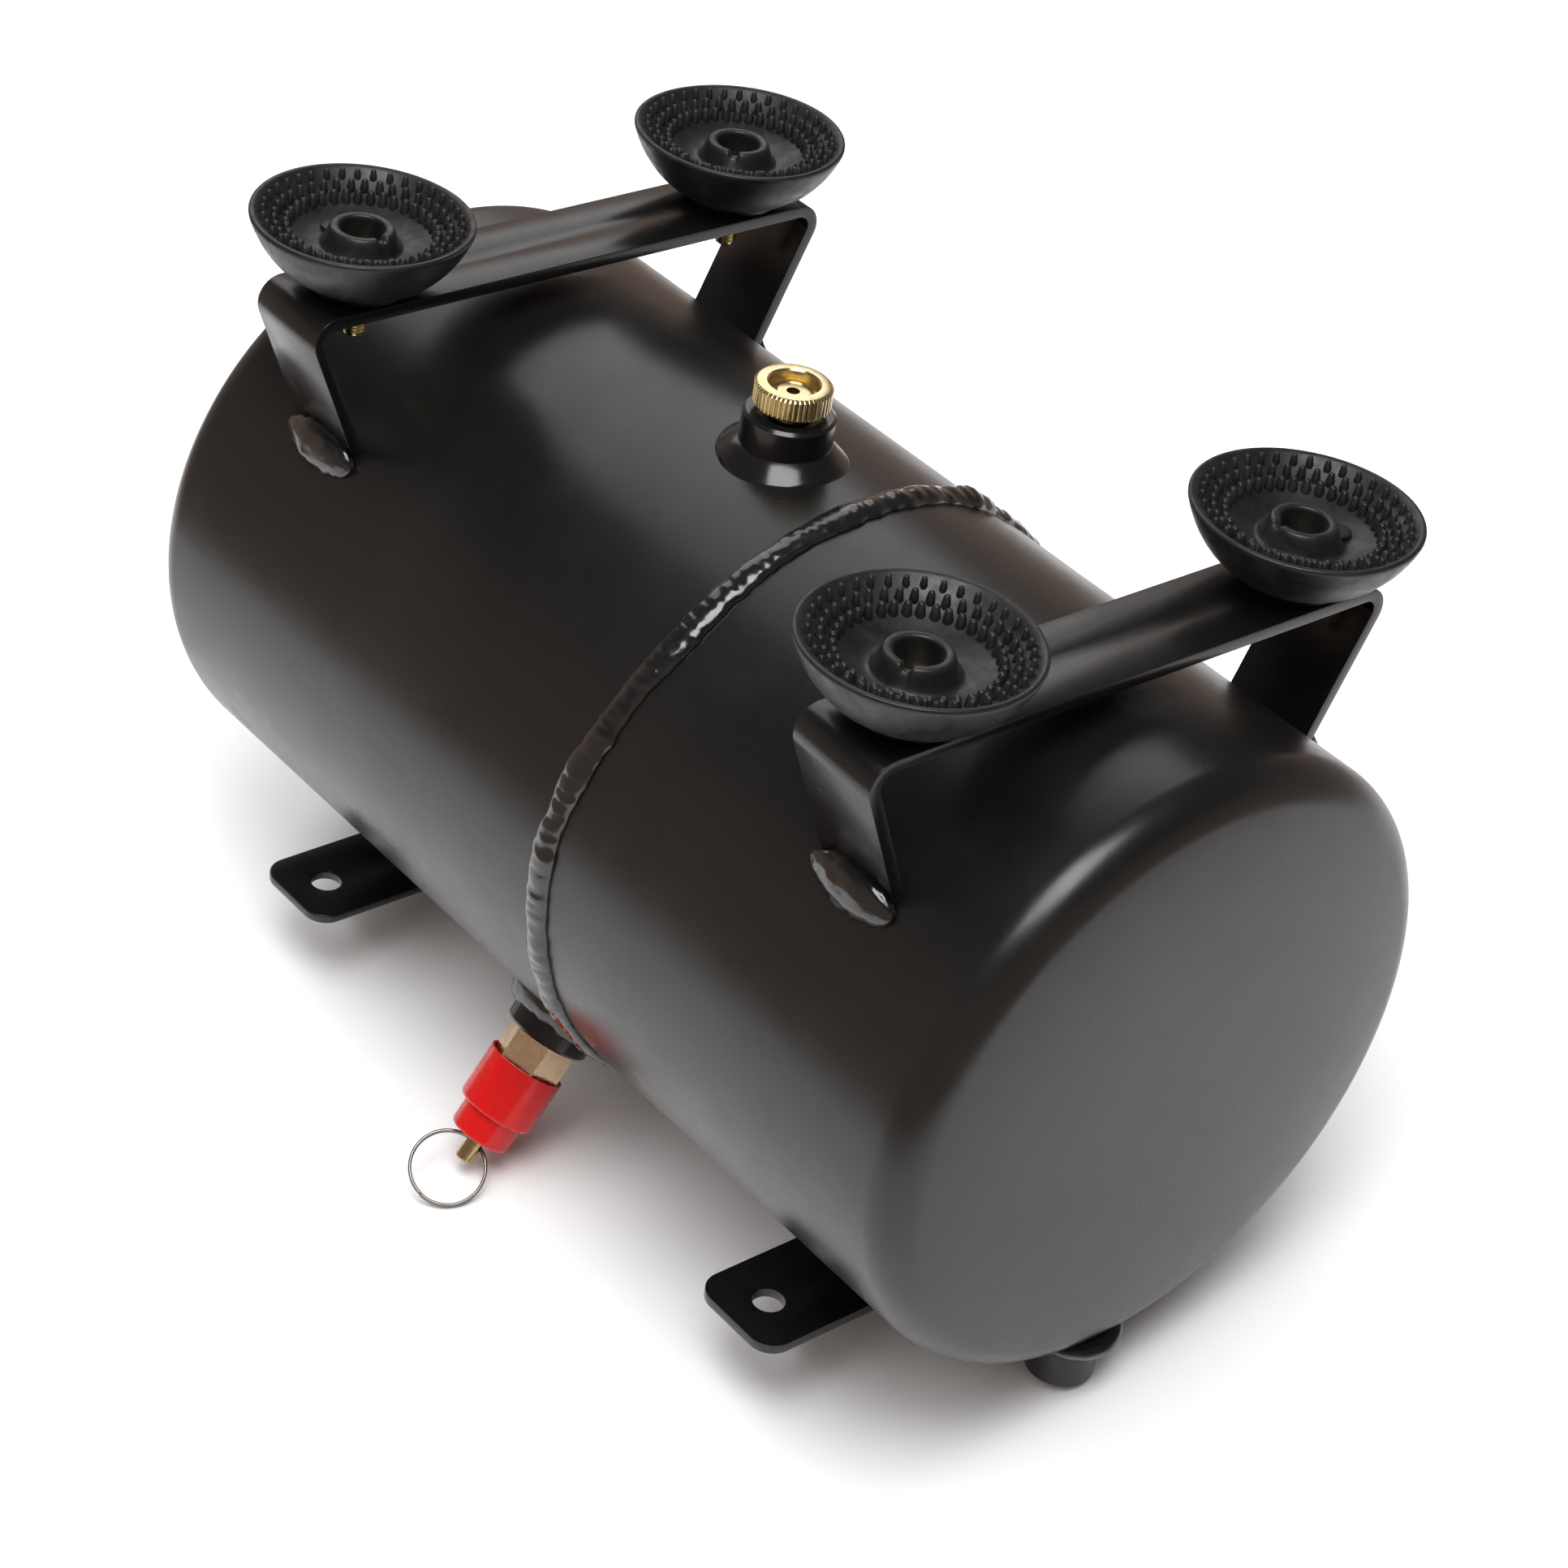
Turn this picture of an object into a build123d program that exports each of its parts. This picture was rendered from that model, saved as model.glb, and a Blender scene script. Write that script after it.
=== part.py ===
from build123d import *
import math
import os

os.makedirs("parts", exist_ok=True)

# Air receiver tank of a small compressor, stored feet upward, in millimetres.
# X runs along the tank. The origin is the centre of the four strap holes, on the straps' outer face.

# Tank: two deep-drawn cups, the right one joggled to slide into the left one at the girth seam
tank_radius = 65.0
tank_length = 243.5
wall = 2.0
knuckle_radius = 7.0
end_crown = 1.8
seam_x = 17.0
lip_length = 8.0
lip_ramp = 6.0
lip_clearance = 0.05
bead_width = 7.0
bead_height = 1.8

# Straps that carry the compressor
strap_end_distance = 46.95
strap_width = 22.0
strap_length = 111.0
strap_thickness = 2.0
strap_corner = 5.0
strap_hole_spacing = 92.5
strap_hole_radius = 3.2
strap_weld_length = 24.0
strap_weld_size = 2.2

# Foot brackets bent from flat bar, with legs that lean in to the tank
bracket_end_distance = 40.05
bracket_width = 20.0
bracket_thickness = 2.5
bracket_standoff = 8.4
bracket_half_length = 64.6
bracket_lean = math.radians(22.9)
bracket_bend = 5.0
leg_weld_length = 14.0
leg_weld_rise = 5.0
leg_weld_reach = 5.0
leg_weld_bulge = 0.8

# Suction cups: heights are above the bracket
cup_spacing = 92.4
cup_rim_radius = 21.7
cup_rim_height = 15.2
cup_rim_width = 1.0
cup_neck_radius = 9.9
cup_neck_height = 1.4
cup_floor_radius = 13.4
cup_floor_height = 8.4
cup_floor_rise = 1.8
cup_hub_radius = 6.3
cup_hub_base_radius = 7.6
cup_hub_height = 12.6
cup_hole_radius = 4.35
cup_seat_height = 2.5
cup_notch_width = 2.0
cup_notch_depth = 2.2
cup_bump_radius = 2.6
cup_bump_height = 1.4

# Foot screws, M4 pan head, threaded into the brackets
screw_radius = 1.95
screw_hole_clearance = 0.05
screw_head_radius = 3.9
screw_head_height = 2.7
screw_tip_reach = 8.0
screw_slot_width = 1.0
screw_slot_length = 4.2
screw_slot_depth = 1.4
washer_radius = 4.1
washer_thickness = 0.8
washer_clearance = 0.2

# Threaded bosses: heights are distances from the tank's axis
boss_depth = 2.0
boss_chamfer = 0.6
hole_clearance = 0.1
thread_clearance = 0.05
drain_x = -6.0
safety_x = -4.0
fitting_boss_radius = 9.0
fitting_bore_radius = 5.9
fitting_skirt_radius = 12.8
fitting_skirt_rise = 2.8
drain_boss_rise = 8.8
safety_boss_rise = 7.0
safety_angle = math.radians(54.9)
port_end_distance = 12.75
port_boss_radius = 6.8
port_bore_radius = 4.4
port_boss_rise = 11.0
port_skirt_radius = 10.6
port_skirt_rise = 2.6
skirt_bulge = 0.9

# Drain valve: a knurled knob on a hollow spindle that screws a washer off its seat
drain_body_recess = 0.8
drain_seat_thickness = 1.2
drain_seat_radius = 2.0
drain_chamber_radius = 4.6
drain_chamber_length = 4.2
drain_seal_radius = 3.6
drain_seal_thickness = 1.2
spindle_radius = 2.95
spindle_clearance = 0.05
spindle_flange_radius = 4.2
spindle_flange_thickness = 1.0
spindle_hole_radius = 1.3
spindle_hole_depth = 5.0
knob_radius = 7.55
knob_height = 4.8
knob_gap = 1.4
knob_neck_radius = 4.4
knob_neck_length = 1.8
knob_recess_radius = 4.8
knob_recess_depth = 2.4
knob_teeth = 48
knob_tooth_depth = 0.45
knob_edge = 0.5

# Safety valve: lengths run out along its own axis from the boss
hex_across_flats = 13.0
hex_length = 9.0
hex_turn = 37.0
sleeve_radius = 5.4
sleeve_length = 12.0
inlet_radius = 2.4
inlet_depth = 2.5
chamber_radius = 4.0
cap_start = 6.8
cap_radius = 8.15
cap_wall = 0.52
cap_length = 11.8
cap_tip_radius = 6.45
cap_tip_length = 6.0
cap_tip_wall = 1.2
cap_step_wall = 1.4
cap_edge = 0.8
cap_clearance = 0.1
cap_hole_radius = 2.3
adjuster_length = 2.5
adjuster_clearance = 0.05
stem_radius = 1.95
stem_hole_clearance = 0.08
stem_tip = 30.4
stem_chamfer = 0.4
poppet_radius = 3.7
poppet_thickness = 1.5
safety_seal_radius = 3.4
safety_seal_thickness = 1.2
spring_wire_radius = 0.4
spring_radius = 2.95
spring_turns = 6.5
cross_hole_place = 26.2
cross_hole_radius = 1.2
cross_hole_turn = math.radians(-31.0)

# Split ring through the stem
ring_radius = 7.6
ring_wire_radius = 0.35
ring_pitch = 0.72
ring_turns = 2
ring_hole_offset = 0.13
ring_tilt = math.radians(-26.0)
ring_lean = math.radians(-10.0)

# Derived places
axis_z = tank_radius + strap_thickness
tank_axis = Axis((0, 0, axis_z), (1, 0, 0))
inner_radius = tank_radius - wall
face_x = tank_length / 2 - end_crown
bracket_x = tank_length / 2 - bracket_end_distance
strap_x = tank_length / 2 - strap_end_distance
bracket_top = tank_radius + bracket_standoff
cup_y = cup_spacing / 2
port_x = tank_length / 2 - port_end_distance
plate_z = axis_z + bracket_top
screw_hole_radius = screw_radius + screw_hole_clearance
boss_foot = inner_radius - boss_depth
drain_boss_top = tank_radius + drain_boss_rise
safety_boss_top = tank_radius + safety_boss_rise
port_boss_top = tank_radius + port_boss_rise

long_plane = Plane(origin=(0, 0, axis_z), x_dir=(1, 0, 0), z_dir=(0, -1, 0))
cross_plane = Plane(origin=(0, 0, axis_z), x_dir=(0, 1, 0), z_dir=(1, 0, 0))
drain_plane = Plane(origin=(drain_x, 0, axis_z), x_dir=(1, 0, 0), z_dir=(0, 0, 1))
safety_out = (0, -math.cos(safety_angle), -math.sin(safety_angle))
safety_plane = Plane(origin=(safety_x, 0, axis_z), x_dir=(1, 0, 0), z_dir=safety_out)
port_planes = [
    Plane(origin=(side * port_x, 0, axis_z), x_dir=(1, 0, 0), z_dir=(0, 0, -1))
    for side in (-1, 1)
]


def finish(builder, name):
    builder.part.label = name
    export_step(builder.part, f"parts/{name}.step")


def side_plane(plane):
    """Plane through a fitting's axis: X is the radius, Y is the distance out from the tank's axis."""
    return Plane(origin=plane.origin, x_dir=plane.x_dir, z_dir=-plane.y_dir)


def fitting_axis(plane):
    return Axis(plane.origin, plane.z_dir)


def cylinder_between(plane, radius, start, end, mode=Mode.ADD):
    with BuildSketch(plane.offset(start)) as disc:
        Circle(radius)
    extrude(disc.sketch, amount=end - start, mode=mode)


def wind_coil(plane, radius, height, turns, wire_radius):
    """Round wire wound about the plane's normal, starting on its X axis."""
    with BuildLine() as coil:
        Helix(pitch=height / turns, height=height, radius=radius)
    path = coil.line.moved(plane.location)
    with BuildSketch(Plane(origin=path @ 0, z_dir=path % 0)) as section:
        Circle(wire_radius)
    sweep(section.sketch, path=path)


# Tank shells

def cup_outline(radius, face, knuckle):
    side = math.copysign(1, face)
    dome_radius = (radius**2 + end_crown**2) / (2 * end_crown)
    half_angle = math.asin(radius / dome_radius) / 2
    dome_centre = face + side * (end_crown - dome_radius)
    dome_middle = (dome_centre + side * dome_radius * math.cos(half_angle), dome_radius * math.sin(half_angle))
    with BuildSketch(long_plane) as outline:
        with BuildLine():
            Polyline((face + side * end_crown, 0), (seam_x, 0), (seam_x, radius), (face, radius))
            ThreePointArc((face, radius), dome_middle, (face + side * end_crown, 0))
        make_face()
        fillet(outline.vertices().sort_by_distance((face, radius, 0))[0], knuckle)
    return outline.sketch


def shell_half(face):
    side = math.copysign(1, face)
    revolve(cup_outline(tank_radius, face, knuckle_radius), axis=tank_axis)
    inside = cup_outline(inner_radius, face - side * wall, knuckle_radius - wall)
    revolve(inside, axis=tank_axis, mode=Mode.SUBTRACT)


def boss_hole(plane, boss_radius):
    cylinder_between(plane, boss_radius + hole_clearance, boss_foot, tank_radius + 1, Mode.SUBTRACT)


with BuildPart() as tank_envelope:
    for end in (-face_x, face_x):
        revolve(cup_outline(tank_radius, end, knuckle_radius), axis=tank_axis)

with BuildPart() as tank_half_left:
    shell_half(-face_x)
    boss_hole(drain_plane, fitting_boss_radius)
    boss_hole(safety_plane, fitting_boss_radius)
    boss_hole(port_planes[0], port_boss_radius)
finish(tank_half_left, "tank_half_left")

lip_outer = inner_radius - lip_clearance
lip_inner = lip_outer - wall
with BuildPart() as tank_half_right:
    shell_half(face_x)
    with BuildSketch(long_plane):
        with BuildLine():
            Polyline(
                (seam_x - lip_length, lip_inner),
                (seam_x - lip_length, lip_outer),
                (seam_x, lip_outer),
                (seam_x, inner_radius + wall / 2),
                (seam_x + lip_ramp, inner_radius + wall / 2),
                (seam_x + lip_ramp, inner_radius),
                (seam_x, lip_inner),
                close=True,
            )
        make_face()
    revolve(axis=tank_axis)
    boss_hole(port_planes[1], port_boss_radius)
finish(tank_half_right, "tank_half_right")

with BuildPart() as girth_weld:
    with BuildSketch(long_plane):
        with BuildLine():
            bead_start = (seam_x - bead_width / 2, tank_radius)
            bead_end = (seam_x + bead_width / 2, tank_radius)
            ThreePointArc(bead_start, (seam_x, tank_radius + bead_height), bead_end)
            Line(bead_end, bead_start)
        make_face()
    revolve(axis=tank_axis)
finish(girth_weld, "girth_weld")


# Foot brackets

def bracket_outline(x, inset, bend):
    """Trapezoid of the bracket's outer face, or of its inner face when inset by the thickness."""
    foot_z = tank_radius / 2
    top_z = bracket_top - inset
    side_inset = inset / math.cos(bracket_lean)
    top_y = bracket_half_length - inset * math.tan(bracket_lean) - side_inset
    foot_y = bracket_half_length - (bracket_top - foot_z) * math.tan(bracket_lean) - side_inset
    with BuildSketch(cross_plane.offset(x - bracket_width / 2)) as outline:
        with BuildLine():
            Polyline((-foot_y, foot_z), (-top_y, top_z), (top_y, top_z), (foot_y, foot_z), close=True)
        make_face()
        fillet(outline.vertices().group_by(Axis.Y)[-1], bend)
    return outline.sketch


def make_bracket(x, name):
    with BuildPart() as bracket:
        extrude(bracket_outline(x, 0, bracket_bend), amount=bracket_width)
        inside = bracket_outline(x, bracket_thickness, bracket_bend - bracket_thickness)
        extrude(inside, amount=bracket_width, mode=Mode.SUBTRACT)
        add(tank_envelope.part, mode=Mode.SUBTRACT)
        with BuildSketch(Plane.XY.offset(plate_z)):
            with Locations((x, -cup_y), (x, cup_y)):
                Circle(screw_hole_radius)
        extrude(amount=-bracket_thickness, mode=Mode.SUBTRACT)
    finish(bracket, name)


make_bracket(-bracket_x, "foot_bracket_left")
make_bracket(bracket_x, "foot_bracket_right")


def leg_foot():
    """Where a leg's outer face meets the tank, and how far that is down the leg."""
    along = bracket_half_length * math.sin(bracket_lean) + bracket_top * math.cos(bracket_lean)
    corner = bracket_half_length**2 + bracket_top**2
    drop = along - math.sqrt(along**2 - corner + tank_radius**2)
    return bracket_half_length - drop * math.sin(bracket_lean), bracket_top - drop * math.cos(bracket_lean)


foot_y, foot_z = leg_foot()
weld_top_y = foot_y + leg_weld_rise * math.sin(bracket_lean)
weld_top_z = foot_z + leg_weld_rise * math.cos(bracket_lean)
weld_toe_angle = math.atan2(foot_z, foot_y) - leg_weld_reach / tank_radius
weld_toe_y = tank_radius * math.cos(weld_toe_angle)
weld_toe_z = tank_radius * math.sin(weld_toe_angle)
weld_out = math.atan2((weld_top_z + weld_toe_z) / 2 - foot_z, (weld_top_y + weld_toe_y) / 2 - foot_y)
weld_crest = (
    (weld_top_y + weld_toe_y) / 2 + leg_weld_bulge * math.cos(weld_out),
    (weld_top_z + weld_toe_z) / 2 + leg_weld_bulge * math.sin(weld_out),
)

with BuildPart() as foot_bracket_welds:
    for weld_x in (-bracket_x, bracket_x):
        with BuildSketch(cross_plane.offset(weld_x - leg_weld_length / 2)):
            with BuildLine():
                Polyline((weld_top_y, weld_top_z), (foot_y, foot_z), (weld_toe_y, weld_toe_z))
                ThreePointArc((weld_toe_y, weld_toe_z), weld_crest, (weld_top_y, weld_top_z))
            make_face()
        extrude(amount=leg_weld_length)
    mirror(about=Plane.XZ)
    add(tank_envelope.part, mode=Mode.SUBTRACT)
finish(foot_bracket_welds, "foot_bracket_welds")


# Suction cups and their screws

def make_cup(x, y, name):
    plane = Plane(origin=(x, y, plate_z), x_dir=(1, 0, 0), z_dir=(0, -1, 0))
    stem_hole = screw_radius + washer_clearance
    rim_inner = cup_rim_radius - cup_rim_width
    neck_top = (cup_neck_radius, cup_neck_height)
    rim_outer = (cup_rim_radius, cup_rim_height)
    bowl_middle = (cup_neck_radius + 0.6 * (cup_rim_radius - cup_neck_radius), 0.42 * cup_rim_height)
    floor_edge = (cup_floor_radius, cup_floor_height + cup_floor_rise)
    wall_middle = (0.46 * floor_edge[0] + 0.54 * rim_inner, 0.6 * floor_edge[1] + 0.4 * cup_rim_height)
    with BuildPart() as cup:
        with BuildSketch(plane):
            with BuildLine():
                Polyline((stem_hole, 0), (cup_neck_radius, 0), neck_top)
                ThreePointArc(neck_top, bowl_middle, rim_outer)
                Line(rim_outer, (rim_inner, cup_rim_height))
                ThreePointArc((rim_inner, cup_rim_height), wall_middle, floor_edge)
                Polyline(
                    floor_edge,
                    (cup_hub_base_radius, cup_floor_height),
                    (cup_hub_radius, cup_hub_height),
                    (cup_hole_radius, cup_hub_height),
                    (cup_hole_radius, cup_seat_height),
                    (stem_hole, cup_seat_height),
                    (stem_hole, 0),
                )
            make_face()
        revolve(axis=Axis((x, y, 0), (0, 0, 1)))
        with BuildSketch(Plane.XY.offset(plate_z + cup_floor_height)):
            with Locations((x, y + cup_hub_base_radius)):
                Circle(cup_bump_radius)
            with Locations((x, y)):
                Circle((cup_hub_radius + cup_hub_base_radius) / 2, mode=Mode.SUBTRACT)
        extrude(amount=cup_bump_height)
        with BuildSketch(Plane.XY.offset(plate_z + cup_hub_height)):
            with Locations((x - cup_hub_radius, y)):
                Rectangle(2 * (cup_hub_radius - cup_hole_radius) + 1, cup_notch_width)
        extrude(amount=-cup_notch_depth, mode=Mode.SUBTRACT)
    finish(cup, name)


for row_y, row in ((-cup_y, "front"), (cup_y, "rear")):
    for column_x, column in ((-bracket_x, "left"), (bracket_x, "right")):
        make_cup(column_x, row_y, f"suction_cup_{row}_{column}")

foot_places = [(x, y) for x in (-bracket_x, bracket_x) for y in (-cup_y, cup_y)]
washer_z = plate_z + cup_seat_height
head_z = washer_z + washer_thickness

with BuildPart() as foot_washers:
    with BuildSketch(Plane.XY.offset(washer_z)):
        with Locations(*foot_places):
            Circle(washer_radius)
            Circle(screw_radius + washer_clearance, mode=Mode.SUBTRACT)
    extrude(amount=washer_thickness)
finish(foot_washers, "foot_washers")

with BuildPart() as foot_screws:
    with BuildSketch(Plane.XY.offset(plate_z - bracket_thickness - screw_tip_reach)):
        with Locations(*foot_places):
            Circle(screw_radius)
    extrude(amount=bracket_thickness + screw_tip_reach + head_z - plate_z)
    chamfer(foot_screws.edges().group_by(Axis.Z)[0], 0.4)
    with BuildSketch(Plane.XY.offset(head_z)):
        with Locations(*foot_places):
            Circle(screw_head_radius)
    extrude(amount=screw_head_height)
    fillet(foot_screws.edges().group_by(Axis.Z)[-1], 1.2)
    with BuildSketch(Plane.XY.offset(head_z + screw_head_height)):
        with Locations(*foot_places):
            Rectangle(screw_slot_length, screw_slot_width)
            Rectangle(screw_slot_width, screw_slot_length)
    extrude(amount=-screw_slot_depth, mode=Mode.SUBTRACT)
finish(foot_screws, "foot_screws")


# Mounting straps

def make_strap(x, name):
    with BuildPart() as strap:
        with BuildSketch(Plane(origin=(x, 0, 0))):
            RectangleRounded(strap_width, strap_length, strap_corner)
            with GridLocations(0, strap_hole_spacing, 1, 2):
                Circle(strap_hole_radius, mode=Mode.SUBTRACT)
        extrude(amount=strap_thickness)
    finish(strap, name)


make_strap(-strap_x, "mounting_strap_left")
make_strap(strap_x, "mounting_strap_right")

with BuildPart() as strap_welds:
    for edge_x in [x + side * strap_width / 2 for x in (-strap_x, strap_x) for side in (-1, 1)]:
        outward = math.copysign(1, abs(edge_x) - strap_x) * math.copysign(1, edge_x)
        with BuildSketch(Plane(origin=(edge_x, strap_weld_length / 2, 0), x_dir=(1, 0, 0), z_dir=(0, -1, 0))):
            with BuildLine():
                toe = (outward * strap_weld_size, strap_thickness)
                Polyline((0, 0.3), (0, strap_thickness + 2), (toe[0], strap_thickness + 2), toe)
                ThreePointArc(toe, (0.75 * toe[0], 0.45 * strap_thickness), (0, 0.3))
            make_face()
        extrude(amount=strap_weld_length)
    add(tank_envelope.part, mode=Mode.SUBTRACT)
finish(strap_welds, "strap_welds")


# Bosses and their weld skirts

def make_boss(plane, radius, bore, top, name):
    with BuildPart() as boss:
        cylinder_between(plane, radius, boss_foot, top)
        cylinder_between(plane, bore, boss_foot, top, Mode.SUBTRACT)
        chamfer(boss.edges().filter_by(GeomType.CIRCLE).sort_by(fitting_axis(plane))[-2:], boss_chamfer)
    finish(boss, name)


def make_skirt(plane, radius, skirt_radius, rise, name):
    crest = tank_radius + rise
    toe = math.sqrt(tank_radius**2 - skirt_radius**2) - 0.2
    middle = ((radius + skirt_radius) / 2, (crest + toe) / 2 + skirt_bulge)
    with BuildPart() as skirt:
        with BuildSketch(side_plane(plane)):
            with BuildLine():
                Polyline((radius, crest), (radius, boss_foot), (skirt_radius, boss_foot), (skirt_radius, toe))
                ThreePointArc((skirt_radius, toe), middle, (radius, crest))
            make_face()
        revolve(axis=fitting_axis(plane))
        add(tank_envelope.part, mode=Mode.SUBTRACT)
    finish(skirt, name)


make_boss(drain_plane, fitting_boss_radius, fitting_bore_radius, drain_boss_top, "drain_boss")
make_boss(safety_plane, fitting_boss_radius, fitting_bore_radius, safety_boss_top, "safety_boss")
make_skirt(drain_plane, fitting_boss_radius, fitting_skirt_radius, fitting_skirt_rise, "drain_boss_weld")
make_skirt(safety_plane, fitting_boss_radius, fitting_skirt_radius, fitting_skirt_rise, "safety_boss_weld")
for port_plane, side_name in zip(port_planes, ("left", "right")):
    make_boss(port_plane, port_boss_radius, port_bore_radius, port_boss_top, f"port_boss_{side_name}")
    make_skirt(port_plane, port_boss_radius, port_skirt_radius, port_skirt_rise, f"port_boss_weld_{side_name}")


# Drain valve

body_radius = fitting_bore_radius - thread_clearance
drain_body_foot = boss_foot + 0.5
drain_body_top = drain_boss_top - drain_body_recess
seal_foot = drain_body_foot + drain_seat_thickness
seal_top = seal_foot + drain_seal_thickness
knob_foot = drain_boss_top + knob_gap
knob_top = knob_foot + knob_height
recess_floor = knob_top - knob_recess_depth
spindle_top = recess_floor + 0.5

with BuildPart() as drain_valve_body:
    cylinder_between(drain_plane, body_radius, drain_body_foot, drain_body_top)
    cylinder_between(drain_plane, drain_seat_radius, drain_body_foot, seal_foot, Mode.SUBTRACT)
    chamber_top = seal_foot + drain_chamber_length
    cylinder_between(drain_plane, drain_chamber_radius, seal_foot, chamber_top, Mode.SUBTRACT)
    guide_radius = spindle_radius + spindle_clearance
    cylinder_between(drain_plane, guide_radius, chamber_top, drain_body_top, Mode.SUBTRACT)
finish(drain_valve_body, "drain_valve_body")

with BuildPart() as drain_seal:
    cylinder_between(drain_plane, drain_seal_radius, seal_foot, seal_top)
finish(drain_seal, "drain_seal")

with BuildPart() as drain_spindle:
    cylinder_between(drain_plane, spindle_flange_radius, seal_top, seal_top + spindle_flange_thickness)
    cylinder_between(drain_plane, spindle_radius, seal_top, spindle_top)
    hole_floor = spindle_top - spindle_hole_depth
    cylinder_between(drain_plane, spindle_hole_radius, hole_floor, spindle_top, Mode.SUBTRACT)
finish(drain_spindle, "drain_spindle")


def knurl_points():
    root = knob_radius - knob_tooth_depth
    for step in range(2 * knob_teeth):
        turn = math.pi * step / knob_teeth
        radius = knob_radius if step % 2 else root
        yield radius * math.cos(turn), radius * math.sin(turn)


with BuildPart() as drain_knob:
    with BuildSketch(drain_plane.offset(knob_foot)):
        with BuildLine():
            Polyline(*knurl_points(), close=True)
        make_face()
    extrude(amount=knob_height)
    with BuildSketch(side_plane(drain_plane)):
        with BuildLine():
            Polyline(
                (0, knob_foot - 1),
                (knob_radius - knob_edge, knob_foot - 1),
                (knob_radius - knob_edge, knob_foot),
                (knob_radius, knob_foot + knob_edge),
                (knob_radius, knob_top - knob_edge),
                (knob_radius - knob_edge, knob_top),
                (0, knob_top),
                close=True,
            )
        make_face()
    revolve(axis=fitting_axis(drain_plane), mode=Mode.INTERSECT)
    cylinder_between(drain_plane, knob_neck_radius, knob_foot - knob_neck_length, knob_foot)
    cylinder_between(drain_plane, knob_recess_radius, recess_floor, knob_top, Mode.SUBTRACT)
    cylinder_between(drain_plane, spindle_radius, knob_foot - knob_neck_length, recess_floor, Mode.SUBTRACT)
finish(drain_knob, "drain_knob")


# Safety valve

safety_body_foot = boss_foot + 0.5
hex_end = safety_boss_top + hex_length
sleeve_end = hex_end + sleeve_length
seat_level = safety_boss_top + inlet_depth
poppet_foot = seat_level + safety_seal_thickness
poppet_top = poppet_foot + poppet_thickness
adjuster_foot = sleeve_end - adjuster_length

with BuildPart() as safety_valve_body:
    cylinder_between(safety_plane, body_radius, safety_body_foot, safety_boss_top)
    with BuildSketch(safety_plane.offset(safety_boss_top)):
        RegularPolygon(hex_across_flats / 2, 6, major_radius=False, rotation=hex_turn)
    extrude(amount=hex_length)
    cylinder_between(safety_plane, sleeve_radius, hex_end, sleeve_end)
    cylinder_between(safety_plane, inlet_radius, safety_body_foot, seat_level, Mode.SUBTRACT)
    cylinder_between(safety_plane, chamber_radius, seat_level, sleeve_end, Mode.SUBTRACT)
finish(safety_valve_body, "safety_valve_body")

cap_foot = safety_boss_top + cap_start
cap_step = cap_foot + cap_length
cap_end = cap_step + cap_tip_length
cap_bore = cap_radius - cap_wall
sleeve_bore = sleeve_radius + cap_clearance
with BuildPart() as safety_cap:
    cylinder_between(safety_plane, cap_radius, cap_foot, cap_step)
    fillet(safety_cap.edges().filter_by(GeomType.CIRCLE).sort_by(fitting_axis(safety_plane))[-1], cap_edge)
    cylinder_between(safety_plane, cap_tip_radius, cap_step, cap_end)
    fillet(safety_cap.edges().filter_by(GeomType.CIRCLE).sort_by(fitting_axis(safety_plane))[-1], cap_edge)
    cylinder_between(safety_plane, cap_bore, cap_foot, cap_step - cap_step_wall, Mode.SUBTRACT)
    cylinder_between(safety_plane, sleeve_bore, cap_step - cap_step_wall, cap_end - cap_tip_wall, Mode.SUBTRACT)
    cylinder_between(safety_plane, cap_hole_radius, cap_end - cap_tip_wall, cap_end, Mode.SUBTRACT)
finish(safety_cap, "safety_cap")

with BuildPart() as safety_adjuster:
    cylinder_between(safety_plane, chamber_radius - adjuster_clearance, adjuster_foot, sleeve_end)
    cylinder_between(safety_plane, stem_radius + stem_hole_clearance, adjuster_foot, sleeve_end, Mode.SUBTRACT)
finish(safety_adjuster, "safety_adjuster")

with BuildPart() as safety_seal:
    cylinder_between(safety_plane, safety_seal_radius, seat_level, poppet_foot)
finish(safety_seal, "safety_seal")

cross_hole_level = safety_boss_top + cross_hole_place
hole_point = safety_plane.from_local_coords(Vector(0, 0, cross_hole_level))
hole_direction = (
    safety_plane.x_dir * math.cos(cross_hole_turn) + safety_plane.y_dir * math.sin(cross_hole_turn)
)
with BuildPart() as safety_stem:
    cylinder_between(safety_plane, stem_radius, poppet_foot, safety_boss_top + stem_tip)
    chamfer(safety_stem.edges().sort_by(fitting_axis(safety_plane))[-1], stem_chamfer)
    cylinder_between(safety_plane, poppet_radius, poppet_foot, poppet_top)
    with BuildSketch(Plane(origin=hole_point, z_dir=hole_direction)):
        Circle(cross_hole_radius)
    extrude(amount=2 * stem_radius, both=True, mode=Mode.SUBTRACT)
finish(safety_stem, "safety_stem")

spring_start = poppet_top + spring_wire_radius
spring_height = adjuster_foot - spring_wire_radius - spring_start
with BuildPart() as safety_spring:
    wind_coil(safety_plane.offset(spring_start), spring_radius, spring_height, spring_turns, spring_wire_radius)
finish(safety_spring, "safety_spring")

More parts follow.
